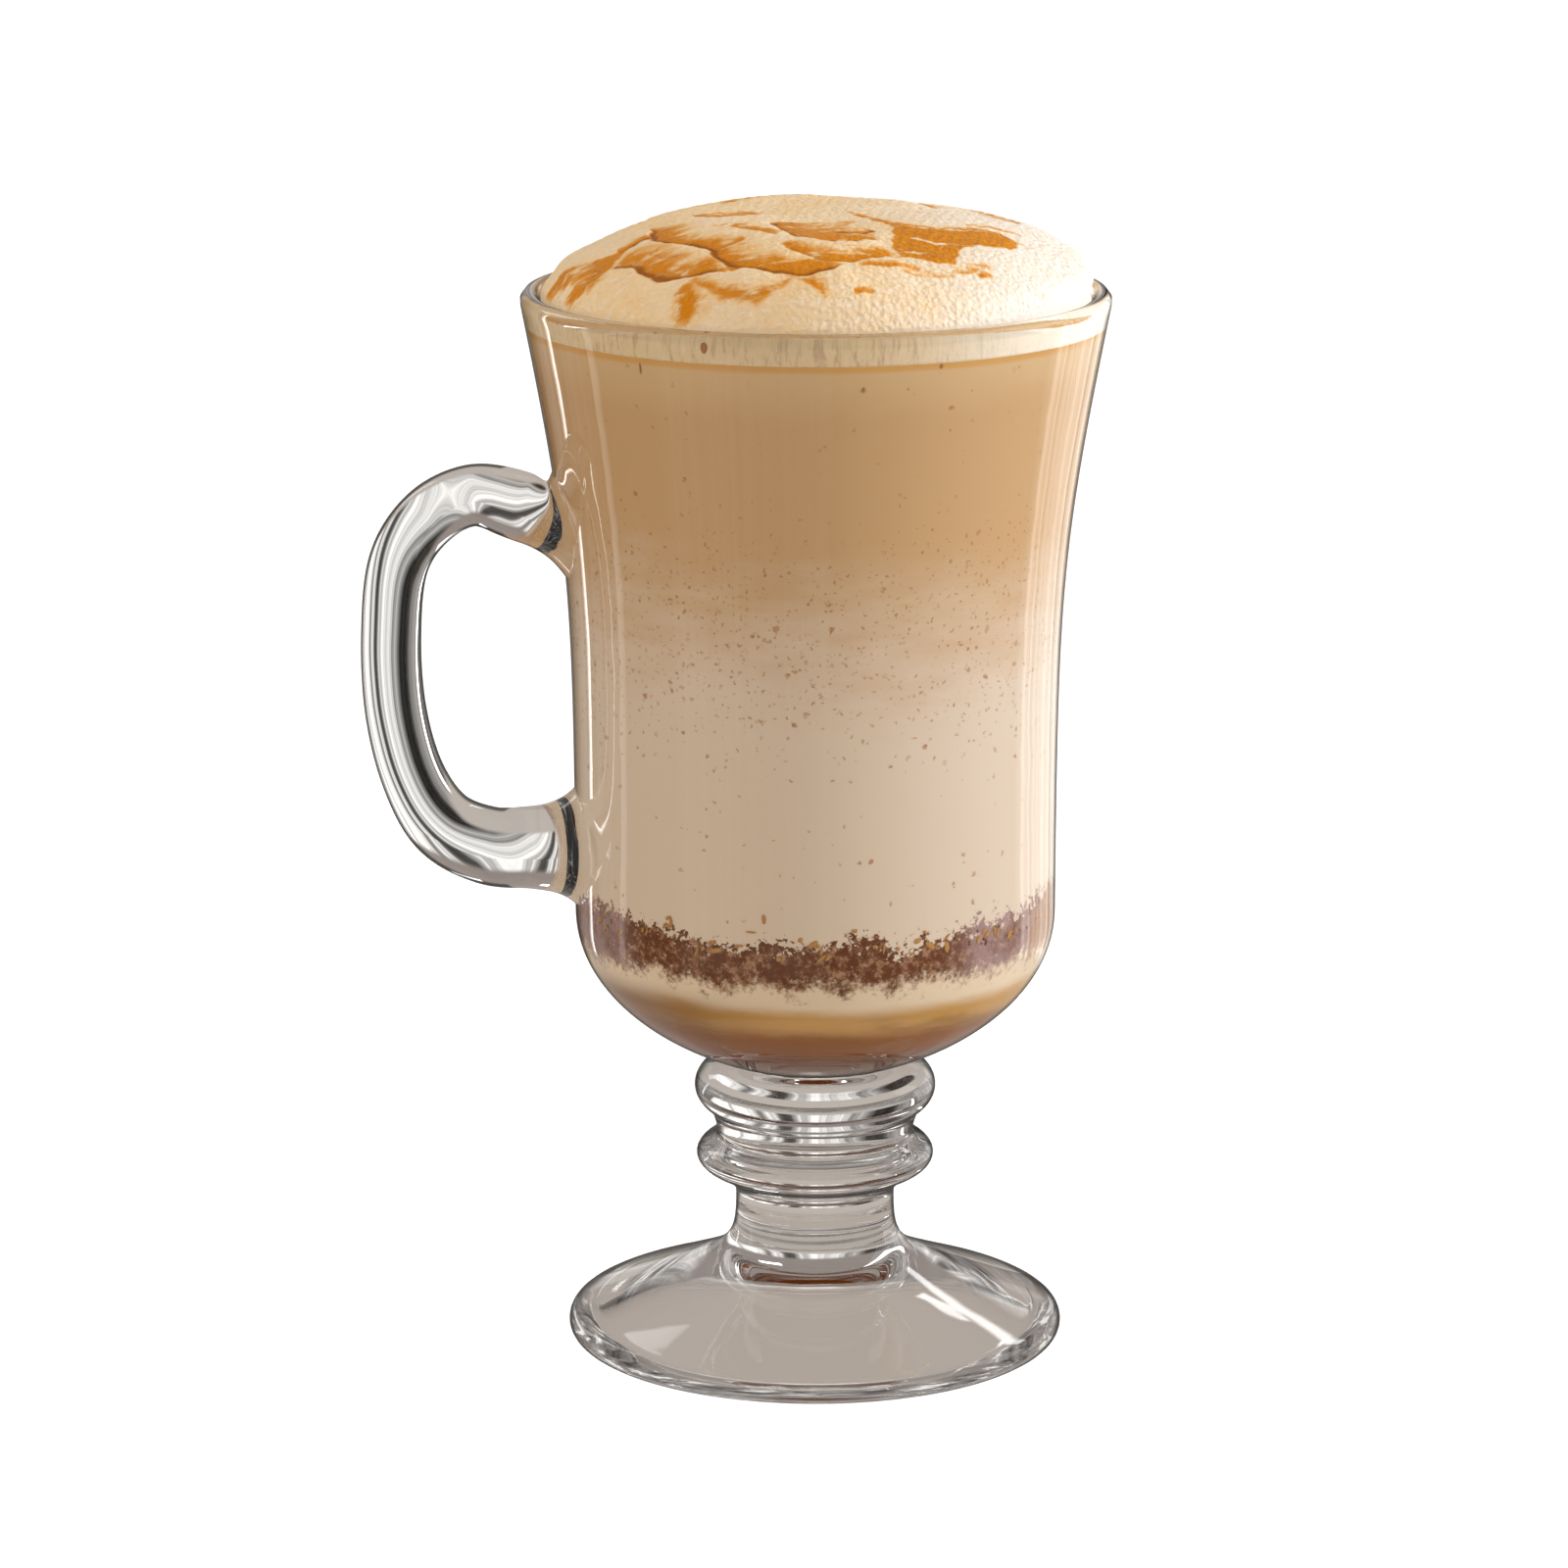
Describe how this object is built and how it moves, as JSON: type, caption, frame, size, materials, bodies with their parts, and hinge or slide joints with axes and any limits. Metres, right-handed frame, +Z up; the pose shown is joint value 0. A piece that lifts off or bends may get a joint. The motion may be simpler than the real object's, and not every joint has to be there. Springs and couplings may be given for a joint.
{
  "type": "layered latte in a footed glass mug",
  "caption": "Layered milk coffee with a caramel-streaked foam dome, served in a clear footed glass mug with a D-shaped handle",
  "frame": {"origin": "bottom centre of the whole object's box, on the surface that the foot stands on; the glass's own axis stands 10.5 mm off it towards +X", "axes": "+Z up, handle towards -X, the object is symmetric about the XZ plane but for the foam's drawing"},
  "size_m": [0.0972, 0.076, 0.1502],
  "materials": {
    "clear_glass": "clear polished",
    "caramel_syrup": "glossy amber liquid",
    "cream": "smooth pale cream",
    "cocoa": "crumbly dark powder in milk",
    "milk": "smooth opaque liquid",
    "milky_coffee": "smooth opaque liquid",
    "milk_foam": "soft foam with amber caramel streaks"
  },
  "bodies": {
    "root": {"glass_mug": "clear_glass", "caramel_syrup": "caramel_syrup", "cream_layer": "cream", "cocoa_layer": "cocoa", "milk": "milk", "coffee": "milky_coffee", "milk_foam": "milk_foam"}
  },
  "joints": []
}
